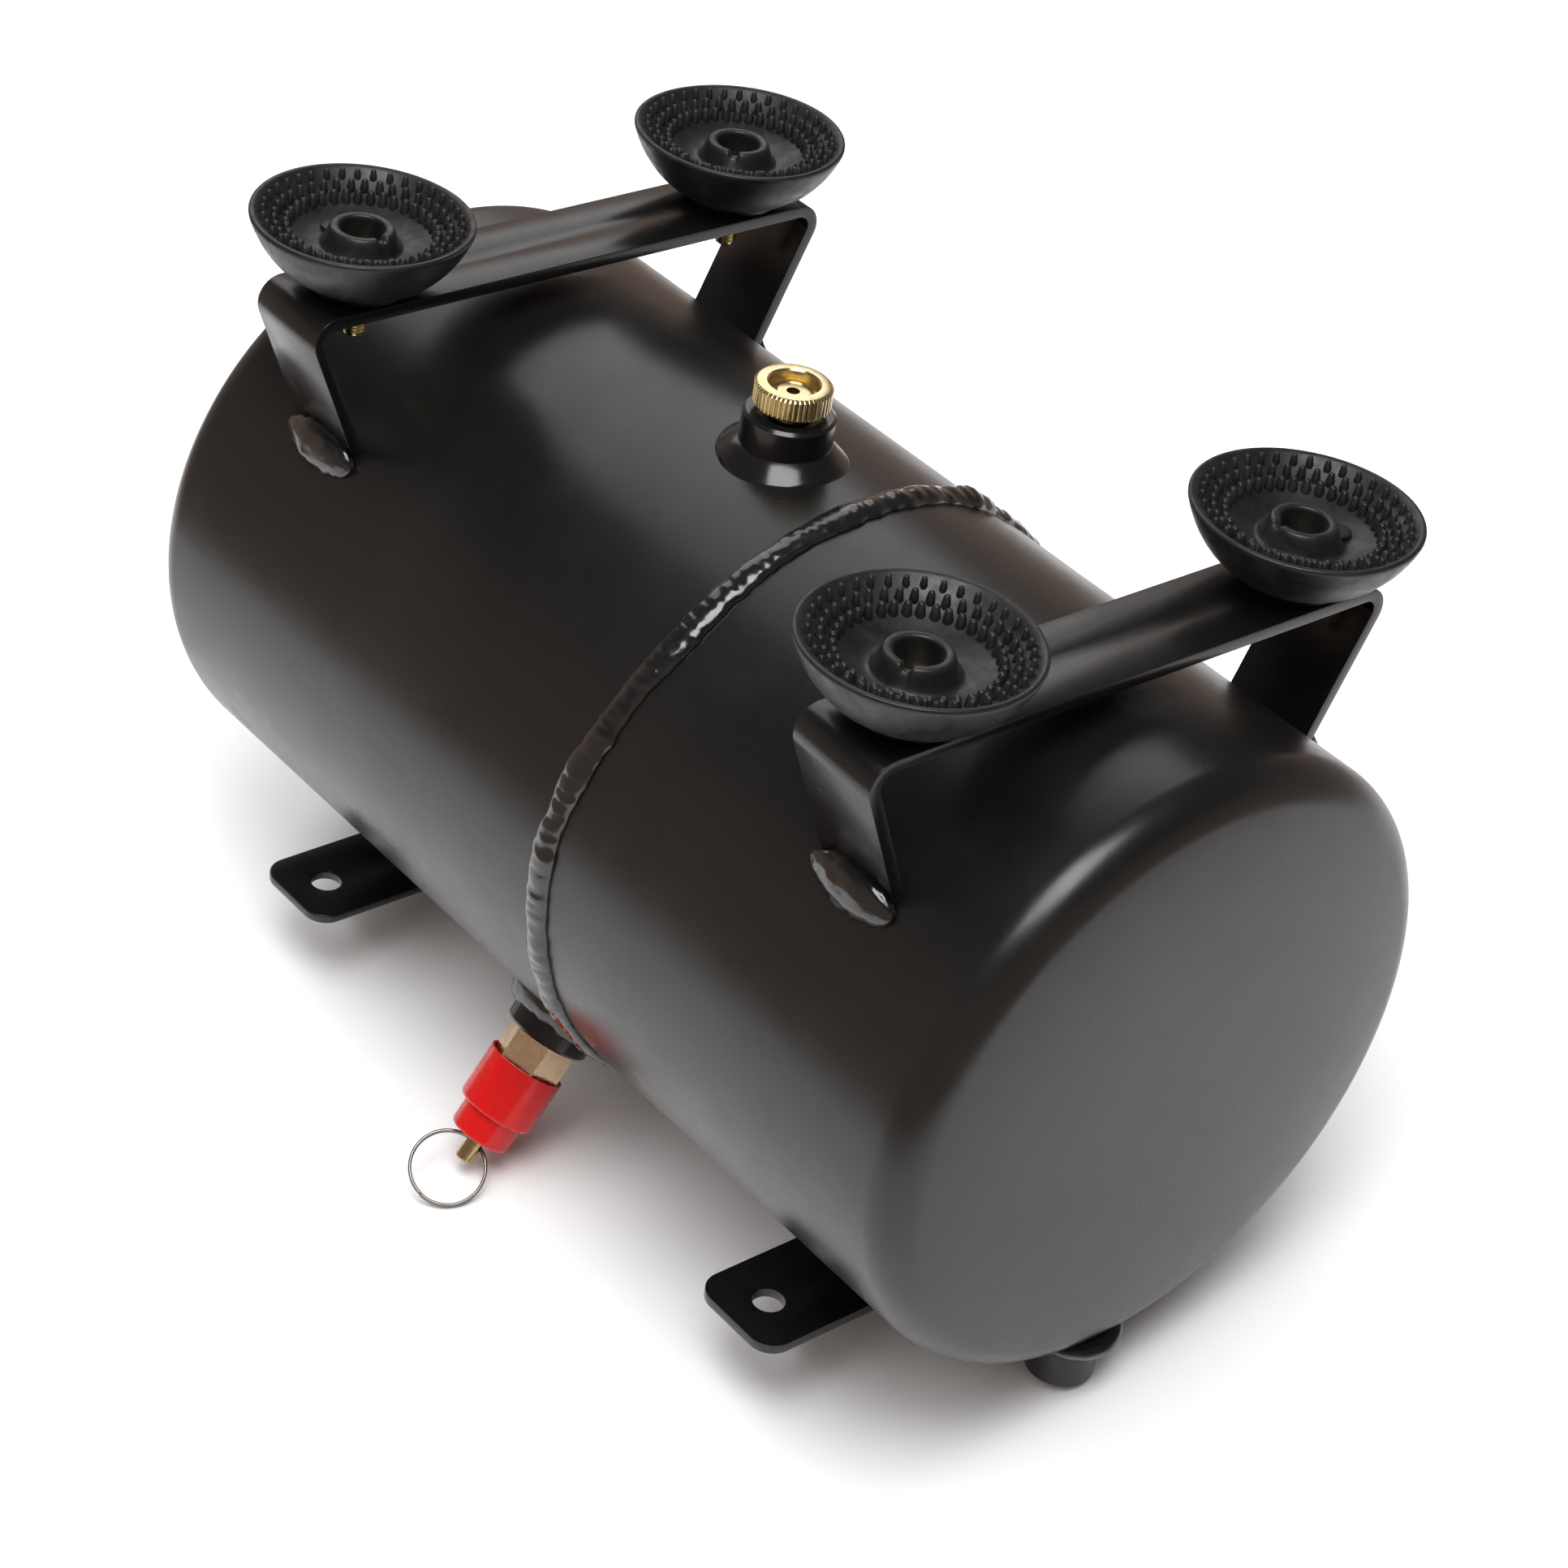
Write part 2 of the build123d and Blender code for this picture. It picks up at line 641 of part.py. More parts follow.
ring_normal = Vector(*safety_plane.z_dir).cross(Vector(*hole_direction)).rotate(
    Axis((0, 0, 0), hole_direction), math.degrees(ring_tilt)
)
ring_out = hole_direction.cross(ring_normal).rotate(Axis((0, 0, 0), ring_normal), math.degrees(ring_lean))
ring_centre = hole_point + ring_out * (ring_radius - ring_hole_offset)
ring_height = ring_pitch * ring_turns
ring_plane = Plane(origin=ring_centre, x_dir=ring_out, z_dir=ring_normal)
with BuildPart() as pull_ring:
    wind_coil(ring_plane.offset(-ring_height / 2), ring_radius, ring_height, ring_turns, ring_wire_radius)
finish(pull_ring, "pull_ring")
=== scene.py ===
import bmesh
import bpy
import math
import random
from mathutils import Matrix, Vector, noise


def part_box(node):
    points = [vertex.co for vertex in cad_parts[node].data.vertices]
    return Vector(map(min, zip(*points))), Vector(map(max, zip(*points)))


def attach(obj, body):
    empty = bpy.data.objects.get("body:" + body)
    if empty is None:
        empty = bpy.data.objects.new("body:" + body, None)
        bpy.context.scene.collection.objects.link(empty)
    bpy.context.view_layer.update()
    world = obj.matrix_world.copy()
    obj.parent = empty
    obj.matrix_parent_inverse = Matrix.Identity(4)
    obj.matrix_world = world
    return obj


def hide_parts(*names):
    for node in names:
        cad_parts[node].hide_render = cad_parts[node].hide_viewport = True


# Welded air receiver, lying feet upward on its ports and the rear ends of its straps
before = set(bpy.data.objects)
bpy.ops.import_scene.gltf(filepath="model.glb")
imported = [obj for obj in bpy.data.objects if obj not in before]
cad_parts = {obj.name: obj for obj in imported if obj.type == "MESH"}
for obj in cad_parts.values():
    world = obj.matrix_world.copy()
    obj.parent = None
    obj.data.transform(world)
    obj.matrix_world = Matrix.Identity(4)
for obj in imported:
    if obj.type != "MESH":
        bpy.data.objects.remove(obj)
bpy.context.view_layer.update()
mm = 0.001

# Places that most pieces share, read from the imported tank
tankLow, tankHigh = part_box("tank_half_left")
tankRadius = (tankHigh.y - tankLow.y) / 2
axisHeight = (tankHigh.z + tankLow.z) / 2
axisPoint = Vector((0, 0, axisHeight))
print("frame loaded, tank radius", round(tankRadius / mm, 1), "mm")


# Materials: patterns read Object coordinates, so scales are in repeats per metre

def startMaterial(name, **look):
    material = bpy.data.materials.new(name)
    material.use_nodes = True
    tree = material.node_tree
    shader = tree.nodes["Principled BSDF"]
    for socket, value in look.items():
        shader.inputs[socket.replace("_", " ")].default_value = value
    place = tree.nodes.new("ShaderNodeTexCoord").outputs["Object"]
    return material, tree, shader, place


def addStretch(tree, place, scale):
    mapping = tree.nodes.new("ShaderNodeMapping")
    mapping.inputs["Scale"].default_value = scale
    tree.links.new(place, mapping.inputs["Vector"])
    return mapping.outputs["Vector"]


def addNoise(tree, place, scale, detail=2.0, roughness=0.5, distortion=0.0):
    grain = tree.nodes.new("ShaderNodeTexNoise")
    grain.inputs["Scale"].default_value = scale
    grain.inputs["Detail"].default_value = detail
    grain.inputs["Roughness"].default_value = roughness
    grain.inputs["Distortion"].default_value = distortion
    tree.links.new(place, grain.inputs["Vector"])
    return grain.outputs[0]


def addRange(tree, source, fromLow, fromHigh, toLow, toHigh):
    spread = tree.nodes.new("ShaderNodeMapRange")
    ends = {"From Min": fromLow, "From Max": fromHigh, "To Min": toLow, "To Max": toHigh}
    for socket, value in ends.items():
        spread.inputs[socket].default_value = value
    tree.links.new(source, spread.inputs["Value"])
    return spread.outputs["Result"]


def addColours(tree, factor, first, second):
    mix = tree.nodes.new("ShaderNodeMix")
    mix.data_type = "RGBA"
    mix.inputs["A"].default_value = (*first, 1)
    mix.inputs["B"].default_value = (*second, 1)
    tree.links.new(factor, mix.inputs["Factor"])
    return mix.outputs["Result"]


def addBump(tree, shader, height, distance, strength=1.0):
    bump = tree.nodes.new("ShaderNodeBump")
    bump.inputs["Distance"].default_value = distance
    bump.inputs["Strength"].default_value = strength
    if shader.inputs["Normal"].is_linked:
        tree.links.new(shader.inputs["Normal"].links[0].from_socket, bump.inputs["Normal"])
    tree.links.new(height, bump.inputs["Height"])
    tree.links.new(bump.outputs["Normal"], shader.inputs["Normal"])


enamelLook = {
    "base": (0.0034, 0.0034, 0.0037),
    "dusty": (0.0062, 0.0061, 0.0062),
    "roughLow": 0.26,
    "roughHigh": 0.33,
    "peelScale": 520,
    "peelDepth": 0.000012,
}


def makeEnamel(name, rougher=0.0, deeper=1.0):
    material, tree, shader, place = startMaterial(name, Specular_IOR_Level=0.52)
    cloud = addNoise(tree, place, 28, 4)
    dust = addRange(tree, cloud, 0.35, 0.7, 0, 1)
    tree.links.new(addColours(tree, dust, enamelLook["base"], enamelLook["dusty"]), shader.inputs["Base Color"])
    haze = addNoise(tree, place, 85, 5, 0.6)
    rough = addRange(tree, haze, 0.3, 0.7, enamelLook["roughLow"] + rougher, enamelLook["roughHigh"] + rougher)
    tree.links.new(rough, shader.inputs["Roughness"])
    addBump(tree, shader, addNoise(tree, place, enamelLook["peelScale"], 1), enamelLook["peelDepth"] * deeper)
    addBump(tree, shader, addNoise(tree, place, 3800, 2), 0.000002 * deeper)
    return material


weldLook = {
    "base": (0.005, 0.005, 0.0055),
    "scale": (0.014, 0.01, 0.008),
    "roughLow": 0.12,
    "roughHigh": 0.27,
    "crustScale": 750,
    "crustDepth": 0.00004,
}


def makeWeldEnamel(name):
    material, tree, shader, place = startMaterial(name, Specular_IOR_Level=0.65, Coat_Weight=0.3,
                                                  Coat_Roughness=0.1)
    patch = addRange(tree, addNoise(tree, place, 230, 3), 0.55, 0.75, 0, 1)
    tree.links.new(addColours(tree, patch, weldLook["base"], weldLook["scale"]), shader.inputs["Base Color"])
    rough = addRange(tree, addNoise(tree, place, 480, 3), 0.35, 0.7, weldLook["roughLow"], weldLook["roughHigh"])
    tree.links.new(rough, shader.inputs["Roughness"])
    addBump(tree, shader, addNoise(tree, place, weldLook["crustScale"], 3, 0.6), weldLook["crustDepth"])
    return material


rubberLook = {
    "base": (0.0035, 0.0036, 0.004),
    "bloom": (0.009, 0.0095, 0.0105),
    "rough": (0.34, 0.5),
    "grainDepth": 0.00001,
}


def makeRubber(name):
    material, tree, shader, place = startMaterial(name, Specular_IOR_Level=0.5, Sheen_Weight=0.02,
                                                  Sheen_Roughness=0.4)
    bloom = addRange(tree, addNoise(tree, place, 140, 6, 0.65, 0.6), 0.42, 0.72, 0, 1)
    tree.links.new(addColours(tree, bloom, rubberLook["base"], rubberLook["bloom"]), shader.inputs["Base Color"])
    rough = addRange(tree, addNoise(tree, place, 420, 4), 0.35, 0.65, *rubberLook["rough"])
    tree.links.new(rough, shader.inputs["Roughness"])
    addBump(tree, shader, addNoise(tree, place, 1600, 3, 0.6), rubberLook["grainDepth"])
    return material


def makeMetal(name, colour, darker, rough, streaks, grainDepth=0.000004):
    # streaks stretches the grain, so it can run along a bar
    material, tree, shader, place = startMaterial(name, Metallic=1.0)
    along = addStretch(tree, place, streaks)
    grain = addNoise(tree, along, 1, 3, 0.6)
    stain = addNoise(tree, place, 310, 4, 0.6)
    stained = addRange(tree, stain, 0.38, 0.75, 0, 1)
    tree.links.new(addColours(tree, stained, colour, darker), shader.inputs["Base Color"])
    tree.links.new(addRange(tree, grain, 0.3, 0.7, rough[0], rough[1]), shader.inputs["Roughness"])
    addBump(tree, shader, grain, grainDepth)
    return material


def makeRedPlastic(name):
    material, tree, shader, place = startMaterial(name, Subsurface_Weight=0.12, Subsurface_Scale=0.001,
                                                  Coat_Weight=0.15, Coat_Roughness=0.12, Specular_IOR_Level=0.35)
    flow = addRange(tree, addNoise(tree, addStretch(tree, place, (1, 0.35, 0.35)), 170, 3), 0.35, 0.7, 0, 1)
    tree.links.new(addColours(tree, flow, (0.6, 0.004, 0.004), (0.5, 0.005, 0.006)), shader.inputs["Base Color"])
    rough = addRange(tree, addNoise(tree, place, 900, 3), 0.3, 0.7, 0.2, 0.3)
    tree.links.new(rough, shader.inputs["Roughness"])
    addBump(tree, shader, addNoise(tree, place, 500, 2), 0.00001)
    return material


enamel = makeEnamel("blackEnamel")
bossEnamel = makeEnamel("bossEnamel", rougher=-0.12, deeper=0.5)
barEnamel = makeEnamel("barEnamel", rougher=-0.04, deeper=0.6)
weldEnamel = makeWeldEnamel("weldEnamel")
cupRubber = makeRubber("cupRubber")
sealRubber = makeRubber("sealRubber")
knobBrass = makeMetal("knobBrass", (0.8, 0.68, 0.4), (0.7, 0.57, 0.3),
                      (0.16, 0.26), (900, 900, 5200), grainDepth=0.0000003)
barBrass = makeMetal("barBrass", (1.0, 0.76, 0.5), (0.9, 0.64, 0.38),
                     (0.2, 0.34), (2400, 700, 700), grainDepth=0.000001)
stemBrass = makeMetal("stemBrass", (0.52, 0.4, 0.2), (0.36, 0.27, 0.14),
                      (0.16, 0.32), (2200, 900, 900))
zincYellow = makeMetal("zincYellow", (0.66, 0.55, 0.25), (0.5, 0.46, 0.2),
                       (0.2, 0.38), (1500, 1500, 1500))
darkSteel = makeMetal("darkSteel", (0.12, 0.115, 0.11), (0.07, 0.07, 0.07),
                      (0.3, 0.5), (1800, 1800, 1800))
springSteel = makeMetal("springSteel", (0.55, 0.55, 0.56), (0.42, 0.42, 0.43),
                        (0.18, 0.3), (2600, 2600, 2600))
ringSteel = makeMetal("ringSteel", (0.24, 0.225, 0.21), (0.15, 0.14, 0.13),
                      (0.06, 0.14), (1400, 1400, 1400), grainDepth=0.0000005)
redPlastic = makeRedPlastic("redPlastic")
print("materials made")

nodeLooks = {
    "drain_boss": bossEnamel, "safety_boss": bossEnamel, "port_boss_left": enamel, "port_boss_right": enamel,
    "drain_spindle": knobBrass, "drain_valve_body": darkSteel, "drain_seal": sealRubber,
    "safety_valve_body": barBrass, "safety_adjuster": stemBrass, "safety_stem": stemBrass,
    "safety_seal": sealRubber, "safety_spring": springSteel, "safety_cap": redPlastic, "pull_ring": ringSteel,
    "foot_screws": zincYellow, "foot_washers": zincYellow,
}
for nodeName, look in nodeLooks.items():
    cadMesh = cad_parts[nodeName].data
    cadMesh.materials.clear()
    cadMesh.materials.append(look)


# Making of pieces

def finishPiece(name, bm, material, stands=(), body="tank", sharpFrom=38):
    mesh = bpy.data.meshes.new(name)
    bm.to_mesh(mesh)
    bm.free()
    mesh.polygons.foreach_set("use_smooth", [True] * len(mesh.polygons))
    mesh.set_sharp_from_angle(angle=math.radians(sharpFrom))
    mesh.materials.append(material)
    piece = bpy.data.objects.new(name, mesh)
    bpy.context.scene.collection.objects.link(piece)
    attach(piece, body)
    if stands:
        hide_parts(*stands)
    return piece


def spinOutline(bm, outline, steps, centre=(0, 0, 0), axis=(0, 0, 1)):
    # closed outline, spun all the way round
    corners = [bm.verts.new(point) for point in outline]
    sides = [bm.edges.new((corners[i - 1], corners[i])) for i in range(len(corners))]
    bmesh.ops.spin(bm, geom=corners + sides, cent=centre, axis=axis, angle=2 * math.pi, steps=steps,
                   use_merge=True)
    bmesh.ops.remove_doubles(bm, verts=bm.verts, dist=1e-7)
    bmesh.ops.recalc_face_normals(bm, faces=bm.faces)


def roundEdges(nodeName, width, pieceName, material, segments=2, sharpest=35):
    # A copy of a flat-sided CAD node with its corners eased
    bm = bmesh.new()
    bm.from_mesh(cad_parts[nodeName].data)
    bmesh.ops.remove_doubles(bm, verts=bm.verts, dist=2e-6)
    bmesh.ops.dissolve_limit(bm, angle_limit=math.radians(1.0), verts=bm.verts, edges=bm.edges)
    keen = [e for e in bm.edges if len(e.link_faces) == 2 and e.calc_face_angle(0) > math.radians(sharpest)]
    bmesh.ops.bevel(bm, geom=keen, offset=width, offset_type="OFFSET", segments=segments, profile=0.5,
                    affect="EDGES", clamp_overlap=True, material=-1)
    bmesh.ops.triangulate(bm, faces=bm.faces)
    return finishPiece(pieceName, bm, material, (nodeName,), sharpFrom=50)


roundEdges("mounting_strap_left", 0.3 * mm, "strapPlateLeft", barEnamel)
roundEdges("mounting_strap_right", 0.3 * mm, "strapPlateRight", barEnamel)
roundEdges("foot_bracket_left", 0.35 * mm, "footBracketLeft", barEnamel)
roundEdges("foot_bracket_right", 0.35 * mm, "footBracketRight", barEnamel)
print("bars eased")


# Tank halves: drawn cups, measured from the tank's own box
shell = {
    "wall": 2.0 * mm,
    "crown": 1.0 * mm,
    "shoulder": 2.2 * mm,
    "shoulderRadius": 58 * mm,
    "knuckle": 8.2 * mm,
    "knuckleFrom": 10.5,
    "seam": 17.0 * mm,
    "lap": 8.0 * mm,
    "joggle": 6.0 * mm,
    "lapClearance": 0.05 * mm,
    "runs": 18,
    "around": 240,
}


def endOutline(inset):
    # from the seam's side to the pole: (distance back from the pole, radius)
    points = []
    outer = tankRadius - inset
    turnFrom = math.radians(shell["knuckleFrom"])
    knuckle = shell["knuckle"] - inset
    edge = shell["crown"] + shell["shoulder"]
    for step in range(15):
        turn = math.pi / 2 + (turnFrom - math.pi / 2) * step / 14
        points.append((edge + inset + knuckle * (math.cos(turnFrom) - math.cos(turn)),
                       outer - knuckle * (1 - math.sin(turn))))
    last = points[-1][1]
    for step in range(1, 17):
        radius = last * (1 - step / 16)
        share = radius / last
        points.append((inset + shell["crown"] * share ** 2 + shell["shoulder"] * share ** 4, radius))
    return points


def makeShell(nodeName, pieceName, side, holes):
    low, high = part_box(nodeName)
    pole = high.x if side > 0 else low.x
    outer = [(pole - side * back, radius) for back, radius in endOutline(0)]
    inner = [(pole - side * back, radius) for back, radius in endOutline(shell["wall"])]
    seam = shell["seam"]
    runs = shell["runs"]
    barrel = [(seam + (outer[0][0] - seam) * step / runs, tankRadius) for step in range(runs)]
    bore = [(seam + (inner[0][0] - seam) * step / runs, tankRadius - shell["wall"]) for step in range(runs)]
    outline = barrel + outer + inner[::-1] + bore[::-1]
    if side > 0:  # the right half's mouth is joggled to slip inside the left one
        lapStart = seam - shell["lap"]
        lapOuter = tankRadius - shell["wall"] - shell["lapClearance"]
        lapInner = tankRadius - 2 * shell["wall"] - shell["lapClearance"]
        outline = outline[:-1] + [(seam + shell["joggle"], tankRadius - shell["wall"]), (seam, lapInner),
                                  (lapStart, lapInner), (lapStart, lapOuter), (seam, lapOuter)]
    bm = bmesh.new()
    spinOutline(bm, [(x, 0, axisHeight + radius) for x, radius in outline], shell["around"], axisPoint,
                (1, 0, 0))
    bmesh.ops.delete(bm, geom=[e for e in bm.edges if not e.link_faces], context="EDGES")
    piece = finishPiece(pieceName, bm, enamel, (nodeName,), sharpFrom=40)
    drillShell(piece, holes)
    return piece


drilling = {"clearance": 0.1 * mm, "length": 30 * mm}


def drillShell(piece, holes):
    for bossName, direction in holes:
        low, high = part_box(bossName)
        radius = (high.x - low.x) / 2 + drilling["clearance"]
        out = Vector(direction)
        bm = bmesh.new()
        bmesh.ops.create_cone(bm, cap_ends=True, segments=64, radius1=radius, radius2=radius,
                              depth=drilling["length"])
        bm.transform(Matrix.Translation(Vector(((low.x + high.x) / 2, 0, axisHeight)) + out * tankRadius)
                     @ out.to_track_quat("Z", "Y").to_matrix().to_4x4())
        mesh = bpy.data.meshes.new("drill")
        bm.to_mesh(mesh)
        bm.free()
        drill = bpy.data.objects.new("drill", mesh)
        bpy.context.scene.collection.objects.link(drill)
        cut = piece.modifiers.new("bossHole", "BOOLEAN")
        cut.operation, cut.solver, cut.object = "DIFFERENCE", "EXACT", drill
        bpy.context.view_layer.update()
        drilled = bpy.data.meshes.new_from_object(piece.evaluated_get(bpy.context.evaluated_depsgraph_get()))
        piece.modifiers.clear()
        piece.data = drilled
        bpy.data.objects.remove(drill)


safetyOut = (0, -math.cos(math.radians(54.9)), -math.sin(math.radians(54.9)))
makeShell("tank_half_left", "tankShellLeft", -1,
          (("drain_boss", (0, 0, 1)), ("safety_boss", safetyOut), ("port_boss_left", (0, 0, -1))))
makeShell("tank_half_right", "tankShellRight", 1, (("port_boss_right", (0, 0, -1)),))
print("tank shells drawn")


# Drain knob: turned brass with straight knurling

knob = {
    "neckRadius": 4.4,
    "neckLength": 1.8,
    "radius": 7.55,
    "toothDepth": 0.5,
    "teeth": 48,
    "edge": 0.55,
    "recessRadius": 4.9,
    "recessDepth": 2.4,
    "bore": 2.97,
}


def makeKnob():
    low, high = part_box("drain_knob")
    foot = low.z / mm + knob["neckLength"]
    top = high.z / mm
    edge, rim = knob["edge"], knob["radius"]
    outline = [(knob["bore"], low.z / mm), (knob["neckRadius"], low.z / mm), (knob["neckRadius"], foot - 0.05),
               (rim - edge, foot), (rim, foot + edge), (rim, foot + edge + 0.05),
               (rim, top - edge - 0.05), (rim, top - edge), (rim - edge, top - 0.04),
               (rim - edge - 0.15, top), (knob["recessRadius"] + 0.3, top),
               (knob["recessRadius"], top - 0.3), (knob["recessRadius"] - 0.25, top - knob["recessDepth"]),
               (knob["bore"] + 0.5, top - knob["recessDepth"] - 0.02), (knob["bore"], top - knob["recessDepth"] - 0.2)]
    bm = bmesh.new()
    spinOutline(bm, [(radius * mm, 0, height * mm) for radius, height in outline], knob["teeth"] * 8)
    for v in bm.verts:
        radius, angle = math.hypot(v.co.x, v.co.y), math.atan2(v.co.y, v.co.x)
        if radius > (rim - 0.03) * mm:
            tooth = abs(((angle * knob["teeth"] / (2 * math.pi)) % 1) * 2 - 1)
            cut = 1 - knob["toothDepth"] / rim * (1 - min(1, 1.7 * tooth))
            v.co.x *= cut
            v.co.y *= cut
    bmesh.ops.translate(bm, verts=bm.verts, vec=((low.x + high.x) / 2, (low.y + high.y) / 2, 0))
    bmesh.ops.recalc_face_normals(bm, faces=bm.faces)
    return finishPiece("drainKnob", bm, knobBrass, ("drain_knob",), body="drain_knob", sharpFrom=28)


makeKnob()
print("knob turned")


# Girth weld: a hand-laid bead that wanders along the seam

girthBead = {
    "halfWidth": 3.1 * mm,
    "height": 1.75 * mm,
    "ripplePitch": 2.9 * mm,
    "rippleDepth": 0.17 * mm,
    "lumpDepth": 0.4 * mm,
    "steps": 1000,
    "section": 14,
    "restart": -27.0,
    "course": ((-180, 17.6), (-140, 16.4), (-100, 17.4), (-60, 16.6), (-27, 15.8), (10, 18.3), (41, 19.3),
               (55, 18.2), (70, 16.6), (82, 15.6), (100, 16.1), (140, 17.2), (180, 17.6)),
}


def beadCourse(turn):
    points = girthBead["course"]
    for (turnA, xA), (turnB, xB) in zip(points, points[1:]):
        if turnA <= turn <= turnB:
            part = (turn - turnA) / (turnB - turnA)
            part = part * part * (3 - 2 * part)
            return (xA + (xB - xA) * part) * mm
    return points[0][1] * mm


def makeGirthBead():
    bm = bmesh.new()
    ring = bmesh.ops.create_circle(bm, segments=girthBead["section"], radius=1.0)["verts"]
    bmesh.ops.scale(bm, verts=ring, vec=(girthBead["halfWidth"], girthBead["height"], 1))
    bmesh.ops.rotate(bm, verts=ring, cent=(0, 0, 0), matrix=Matrix.Rotation(math.pi / 2, 3, "X"))
    bmesh.ops.translate(bm, verts=ring, vec=(0, 0, axisHeight + tankRadius))
    bmesh.ops.spin(bm, geom=bm.verts[:] + bm.edges[:], cent=axisPoint, axis=(1, 0, 0), angle=2 * math.pi,
                   steps=girthBead["steps"], use_merge=True)
    bmesh.ops.remove_doubles(bm, verts=bm.verts, dist=1e-7)
    for v in bm.verts:
        angle = math.atan2(-v.co.y, v.co.z - axisHeight)
        turn = math.degrees(angle)
        rise = math.hypot(v.co.y, v.co.z - axisHeight) - tankRadius
        across = v.co.x / girthBead["halfWidth"]
        along = angle * tankRadius
        pastRestart = turn - girthBead["restart"]
        blob = math.exp(-(pastRestart / 3.2) ** 2)
        thin = 0.78 if pastRestart < -5 else 1.0
        sway = noise.noise(Vector((math.cos(angle) * 6, math.sin(angle) * 6, 2)))
        spread = (1 + 0.2 * sway) * thin + 0.25 * blob
        if rise > 0:
            wave = abs(math.sin(math.pi * (along / girthBead["ripplePitch"] + 0.55 * across * across
                                           + 1.3 * noise.noise(Vector((along * 150, 1, 0))))))
            lump = noise.noise(Vector((along * 300, across * 1.3, 5)))
            lump += 0.4 * noise.noise(Vector((along * 700, across * 2.5, 8)))
            crest = 1 - 0.8 * across * across
            rough = girthBead["rippleDepth"] * (wave - 0.6) + girthBead["lumpDepth"] * lump
            rise = rise * (spread + 0.35 * blob) + crest * rough
        edgeWave = 0.16 * noise.noise(Vector((along * 330, 9, math.copysign(1, across))))
        v.co.x = beadCourse(turn) + across * girthBead["halfWidth"] * (spread + edgeWave)
        radius = tankRadius + rise
        v.co.y = -radius * math.sin(angle)
        v.co.z = axisHeight + radius * math.cos(angle)
    bmesh.ops.recalc_face_normals(bm, faces=bm.faces)
    return finishPiece("girthBead", bm, weldEnamel, ("girth_weld",), sharpFrom=80)


makeGirthBead()
print("girth bead laid")


# Short welds: drawn-out lumps with ripples across them

def makeLump(bm, centre, along, out, size, ripplePitch, rippleDepth, seed, point=0.35, floor=None):
    # size is half the length, the width and the height; point narrows the lump towards its start
    along = along.normalized()
    out = (out - out.dot(along) * along).normalized()
    side = out.cross(along)
    made = bmesh.ops.create_uvsphere(bm, u_segments=40, v_segments=20, radius=1.0,
                                     matrix=Matrix.Rotation(math.pi / 2, 4, "Y"))["verts"]
    for v in made:
        x, y, z = v.co
        taper = 1 - point * max(0.0, -x) ** 1.5
        rough = noise.noise(Vector((x * 5 + seed, y * 3, z * 3)))
        fine = noise.noise(Vector((x * 13 + seed, y * 8, z * 8)))
        wave = abs(math.sin(math.pi * (x * size[0] / ripplePitch + 0.4 * y * y)))
        swell = 1 + 0.16 * rough + 0.07 * fine + rippleDepth / size[2] * (wave - 0.5)
        place = centre + along * x * size[0]
        place += side * y * size[1] * taper * swell
        place += out * z * size[2] * taper * swell
        if floor is not None:
            place.z = max(place.z, floor)
        v.co = place
    bmesh.ops.remove_doubles(bm, verts=made, dist=1e-7)


legWeld = {
    "turn": 52.6,
    "halfLength": 11.0 * mm,
    "halfWidth": 4.9 * mm,
    "height": 2.8 * mm,
    "outset": 0.7 * mm,
    "shift": 0.4 * mm,
    "ripplePitch": 2.3 * mm,
    "rippleDepth": 0.22 * mm,
}


def makeLegWelds():
    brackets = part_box("foot_bracket_left"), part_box("foot_bracket_right")
    bracketMiddles = [(low.x + high.x) / 2 for low, high in brackets]
    bm = bmesh.new()
    for column, x in enumerate(bracketMiddles):
        for row, side in enumerate((1, -1)):
            angle = side * math.radians(legWeld["turn"])
            foot = Vector((x, -tankRadius * math.sin(angle), axisHeight + tankRadius * math.cos(angle)))
            out = Vector((0, -side * 0.99, 0.137))
            centre = foot + out * legWeld["outset"] + Vector((legWeld["shift"], 0, 0))
            makeLump(bm, centre, Vector((1, 0, 0)), out,
                     (legWeld["halfLength"], legWeld["halfWidth"], legWeld["height"]),
                     legWeld["ripplePitch"], legWeld["rippleDepth"], 7 * column + 3 * row)
    bmesh.ops.recalc_face_normals(bm, faces=bm.faces)
    return finishPiece("legWelds", bm, weldEnamel, ("foot_bracket_welds",), sharpFrom=80)


strapWeld = {
    "halfLength": 12.2 * mm,
    "halfWidth": 1.5 * mm,
    "reach": 1.9 * mm,
    "outset": 0.5 * mm,
    "height": 1.9 * mm,
    "floor": 0.3 * mm,
    "ripplePitch": 1.9 * mm,
    "rippleDepth": 0.2 * mm,
}


def makeStrapWelds():
    bm = bmesh.new()
    for index, nodeName in enumerate(("mounting_strap_left", "mounting_strap_right")):
        low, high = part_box(nodeName)
        for edge, outward in ((low.x, -1), (high.x, 1)):
            centre = Vector((edge + outward * strapWeld["outset"], 0, strapWeld["height"]))
            makeLump(bm, centre, Vector((0, 1, 0)), Vector((outward, 0, -0.35)),
                     (strapWeld["halfLength"], strapWeld["halfWidth"], strapWeld["reach"]),
                     strapWeld["ripplePitch"], strapWeld["rippleDepth"], 20 + 5 * index + outward, 0.2,
                     strapWeld["floor"])
    bmesh.ops.recalc_face_normals(bm, faces=bm.faces)
    return finishPiece("strapWelds", bm, weldEnamel, ("strap_welds",), sharpFrom=80)


makeLegWelds()
makeStrapWelds()
print("short welds laid")


# Weld skirts round the threaded bosses

